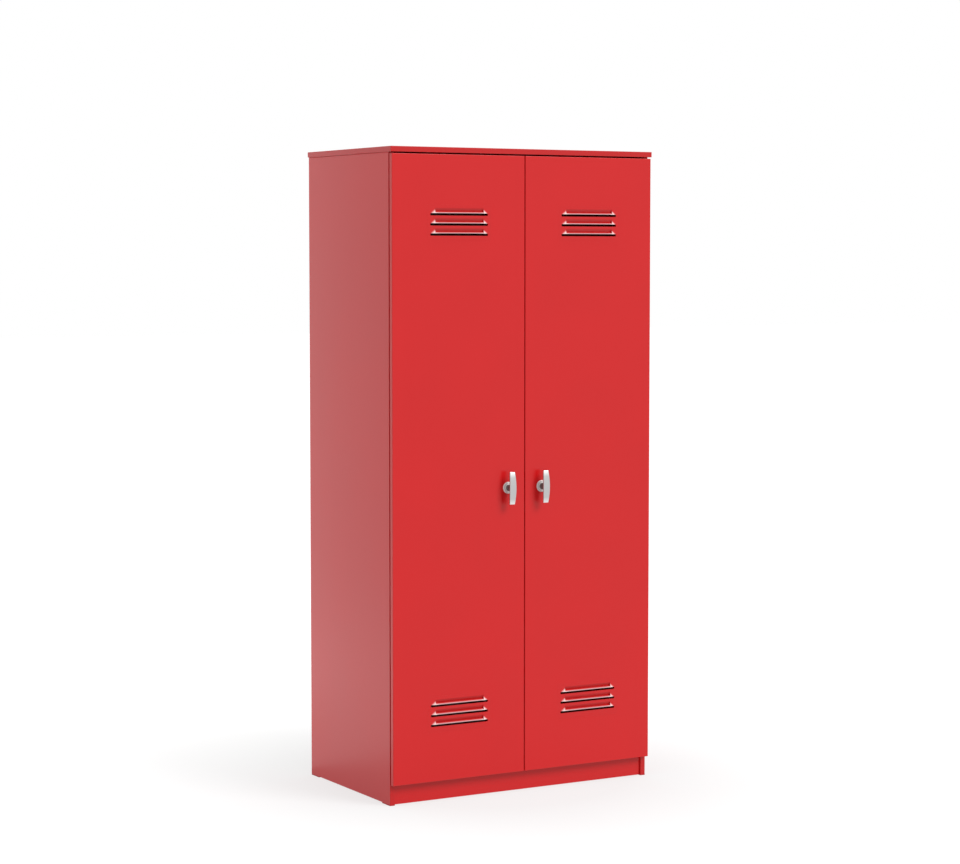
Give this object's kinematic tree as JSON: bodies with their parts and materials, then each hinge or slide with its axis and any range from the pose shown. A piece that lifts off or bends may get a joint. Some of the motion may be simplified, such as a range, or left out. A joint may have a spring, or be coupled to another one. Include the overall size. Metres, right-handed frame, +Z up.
{
  "type": "two-door locker",
  "caption": "Tall red board-built locker with full-height hinged doors, pressed louvre vents, pull handles, a hat shelf and a hanging rail.",
  "frame": {"origin": "on the floor under the middle of the overall box, handles included", "axes": "+Z up, -Y out of the front of the doors, +X to the right of someone facing the doors"},
  "size_m": [0.905, 0.5772, 1.935],
  "materials": {
    "red_board": "melamine-faced board in satin red, edges banded in the same red",
    "red_door": "lacquered MDF in satin red",
    "red_sheet": "pressed sheet painted in the doors' red",
    "red_plastic": "moulded red plastic",
    "back_hdf": "thin fibreboard with a pale grey face",
    "strip_plastic": "extruded pale grey plastic",
    "chromed_tube": "bright chromed steel",
    "hinge_steel": "nickel-plated pressed steel",
    "screw_steel": "zinc-plated steel",
    "fitting_zinc": "plain zinc die casting",
    "satin_nickel": "satin nickel on a die casting",
    "beech": "fluted beech, unfinished",
    "soft_buffer": "clear soft plastic dot"
  },
  "bodies": {
    "carcass": {"top_panel": "red_board", "bottom_panel": "red_board", "front_plinth": "red_board", "hat_shelf": "red_board", "back_joining_strip": "strip_plastic", "hanging_rail": "chromed_tube", "rail_sockets": "chromed_tube", "rail_socket_screws": "screw_steel", "foot_glides": "red_plastic", "cam_locks": "fitting_zinc", "cam_bolts": "screw_steel", "wooden_dowels": "beech", "wall_brackets": "screw_steel", "wall_bracket_screws": "screw_steel", "hinge_mounting_plates": "hinge_steel", "hinge_plate_screws": "screw_steel", "hinge_arms": "hinge_steel", "hinge_arm_screws": "screw_steel", "left_side_panel": "red_board", "left_back_panel": "back_hdf", "right_side_panel": "red_board", "right_back_panel": "back_hdf"},
    "left_door": {"left_door_panel": "red_door", "left_upper_vent": "red_sheet", "left_lower_vent": "red_sheet", "left_hinge_cups": "hinge_steel", "left_hinge_pins": "hinge_steel", "left_hinge_cup_screws": "screw_steel", "left_handle_post": "satin_nickel", "left_handle_grip": "satin_nickel", "left_handle_screw": "screw_steel", "left_door_buffers": "soft_buffer"},
    "right_door": {"right_door_panel": "red_door", "right_upper_vent": "red_sheet", "right_lower_vent": "red_sheet", "right_hinge_cups": "hinge_steel", "right_hinge_pins": "hinge_steel", "right_hinge_cup_screws": "screw_steel", "right_handle_post": "satin_nickel", "right_handle_grip": "satin_nickel", "right_handle_screw": "screw_steel", "right_door_buffers": "soft_buffer"}
  },
  "joints": [
    {"name": "left_door_hinge", "type": "hinge", "parent": "carcass", "child": "left_door", "pos_m": [-0.4415, -0.2489, 0.9885], "axis": [0, 0, -1], "range_deg": [0, 100]},
    {"name": "right_door_hinge", "type": "hinge", "parent": "carcass", "child": "right_door", "pos_m": [0.4415, -0.2489, 0.9885], "axis": [0, 0, 1], "range_deg": [0, 100]}
  ]
}
